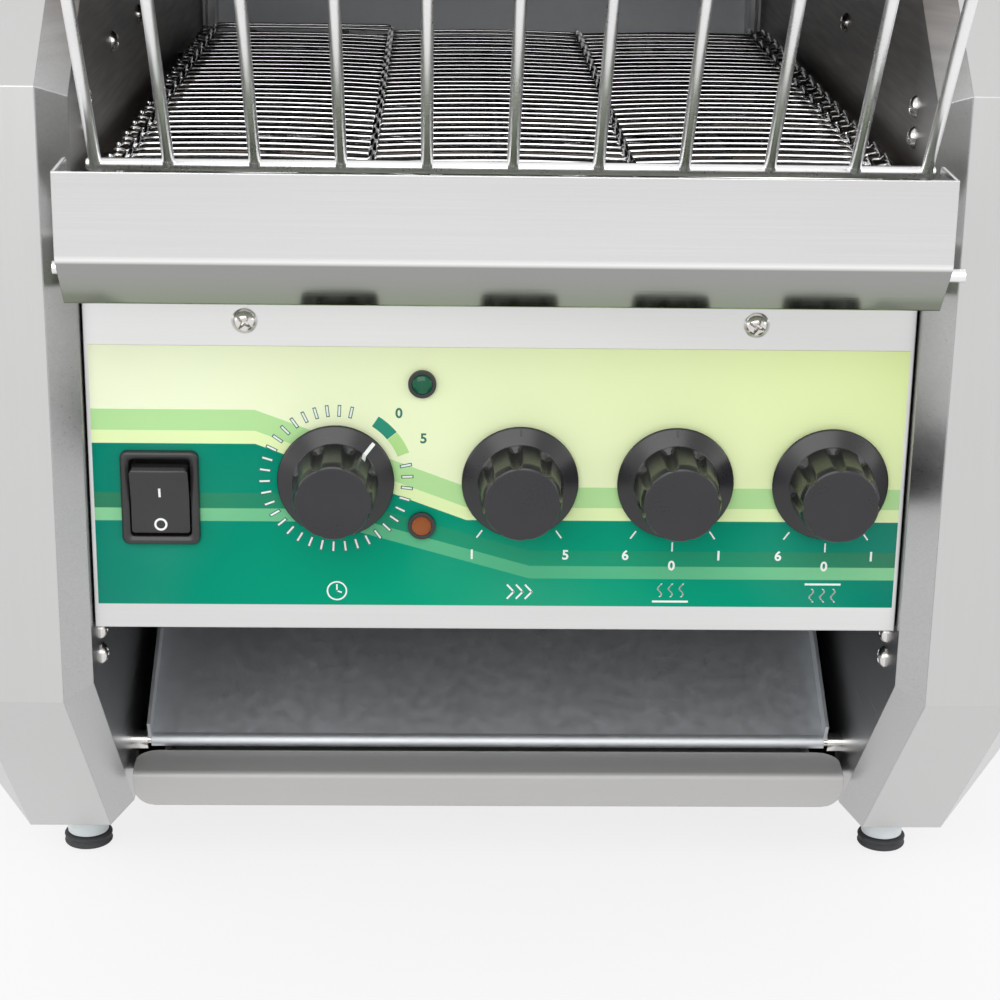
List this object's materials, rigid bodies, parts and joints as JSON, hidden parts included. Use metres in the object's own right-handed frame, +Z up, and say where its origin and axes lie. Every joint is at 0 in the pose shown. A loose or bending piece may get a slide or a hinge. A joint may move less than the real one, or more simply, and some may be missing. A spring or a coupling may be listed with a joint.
{
  "type": "conveyor toaster",
  "caption": "Counter-top conveyor toaster with a wire belt through a heated hood, a sloping wire loading rack, a control panel and a chute to a front landing lip.",
  "frame": {"origin": "on the table surface, under the middle of the machine's bounding box", "axes": "+X to the operator's right, +Y from the control panel to the back, +Z up"},
  "size_m": [0.3912, 0.5618, 0.413],
  "materials": {
    "brushed_steel": "satin brushed",
    "wall_steel": "satin brushed, a little dulled by heat",
    "panel_steel": "fine brushed",
    "chute_steel": "dull mill finish",
    "screw_steel": "bright",
    "belt_wire": "bright drawn wire",
    "rack_wire": "polished",
    "shaft_steel": "ground",
    "chain_steel": "oiled",
    "bronze": "sintered",
    "heater_sheath": "heat darkened",
    "white_ceramic": "matte",
    "motor_paint": "satin",
    "control_metal": "zinc plated",
    "label_film": "satin printed film",
    "black_plastic": "glossy moulded",
    "green_lens": "clear tinted",
    "amber_lens": "prismatic tinted",
    "collar_plastic": "smooth",
    "pad_rubber": "matte"
  },
  "bodies": {
    "cabinet": {"left_housing": "brushed_steel", "right_housing": "brushed_steel", "left_inner_wall": "wall_steel", "right_inner_wall": "wall_steel", "top_cover": "brushed_steel", "rear_cover": "brushed_steel", "cover_screws": "screw_steel", "wall_screws": "screw_steel", "control_box": "chute_steel", "control_panel": "panel_steel", "panel_label": "label_film", "panel_screws": "screw_steel", "wire_belt": "belt_wire", "belt_rails": "shaft_steel", "shaft_bushes": "bronze", "drive_chain": "chain_steel", "gearmotor": "motor_paint", "motor_bracket": "chute_steel", "upper_heaters": "heater_sheath", "lower_heaters": "heater_sheath", "heater_bushes": "white_ceramic", "upper_reflector": "chute_steel", "crumb_pan": "chute_steel", "toast_chute": "chute_steel", "chute_screws": "screw_steel", "tray_guides": "chute_steel", "guard_pins": "screw_steel", "power_switch": "black_plastic", "lamp_bezels": "black_plastic", "green_lens": "green_lens", "amber_lens": "amber_lens", "timer_control": "control_metal", "speed_control": "control_metal", "top_heat_control": "control_metal", "bottom_heat_control": "control_metal", "control_nuts": "screw_steel", "cord_gland": "black_plastic", "foot_collars": "collar_plastic", "foot_pads": "pad_rubber"},
    "drive": {"drive_shaft": "shaft_steel", "drive_sprockets": "shaft_steel", "shaft_chain_sprocket": "shaft_steel"},
    "idler": {"idler_shaft": "shaft_steel", "idler_rollers": "shaft_steel"},
    "motor_output": {"motor_shaft": "shaft_steel", "motor_sprocket": "shaft_steel"},
    "tray": {"landing_tray": "brushed_steel"},
    "guard": {"front_guard": "brushed_steel", "guard_rod": "rack_wire"},
    "rack": {"loading_rack": "rack_wire"},
    "rocker": {"power_rocker": "black_plastic"},
    "timer": {"timer_shaft": "shaft_steel", "timer_knob": "black_plastic"},
    "speed": {"speed_shaft": "shaft_steel", "speed_knob": "black_plastic"},
    "top_heat": {"top_heat_shaft": "shaft_steel", "top_heat_knob": "black_plastic"},
    "bottom_heat": {"bottom_heat_shaft": "shaft_steel", "bottom_heat_knob": "black_plastic"}
  },
  "joints": [
    {"name": "belt_drive", "type": "hinge", "parent": "cabinet", "child": "drive", "pos_m": [0, 0.18326, 0.25882], "axis": [1, 0, 0], "continuous": true},
    {"name": "idler_turn", "type": "hinge", "parent": "cabinet", "child": "idler", "pos_m": [0, -0.14534, 0.25882], "axis": [1, 0, 0], "continuous": true},
    {"name": "motor_turn", "type": "hinge", "parent": "cabinet", "child": "motor_output", "pos_m": [0.1444, 0.18326, 0.15405], "axis": [1, 0, 0], "continuous": true},
    {"name": "tray_slide", "type": "slide", "parent": "cabinet", "child": "tray", "axis": [0, -1, 0], "range_m": [0, 0.28]},
    {"name": "guard_lift", "type": "slide", "parent": "cabinet", "child": "guard", "axis": [0, 0, 1], "range_m": [0, 0.04]},
    {"name": "rack_lift", "type": "slide", "parent": "guard", "child": "rack", "axis": [0, 0, 1], "range_m": [0, 0.06]},
    {"name": "rocker_tilt", "type": "hinge", "parent": "cabinet", "child": "rocker", "pos_m": [-0.1105, -0.16511, 0.1735], "axis": [1, 0, 0], "range_deg": [-18, 0]},
    {"name": "timer_turn", "type": "hinge", "parent": "cabinet", "child": "timer", "pos_m": [-0.0532, -0.17711, 0.18], "axis": [0, -1, 0], "range_deg": [-300, 0]},
    {"name": "speed_turn", "type": "hinge", "parent": "cabinet", "child": "speed", "pos_m": [0.0069, -0.17711, 0.18], "axis": [0, -1, 0], "range_deg": [-140, 140]},
    {"name": "top_heat_turn", "type": "hinge", "parent": "cabinet", "child": "top_heat", "pos_m": [0.0577, -0.17711, 0.18], "axis": [0, -1, 0], "range_deg": [-180, 150]},
    {"name": "bottom_heat_turn", "type": "hinge", "parent": "cabinet", "child": "bottom_heat", "pos_m": [0.1085, -0.17711, 0.18], "axis": [0, -1, 0], "range_deg": [-180, 150]}
  ],
  "couplings": [
    {"joint": "idler_turn", "follows": "belt_drive", "ratio": 1},
    {"joint": "motor_turn", "follows": "belt_drive", "ratio": 1}
  ]
}
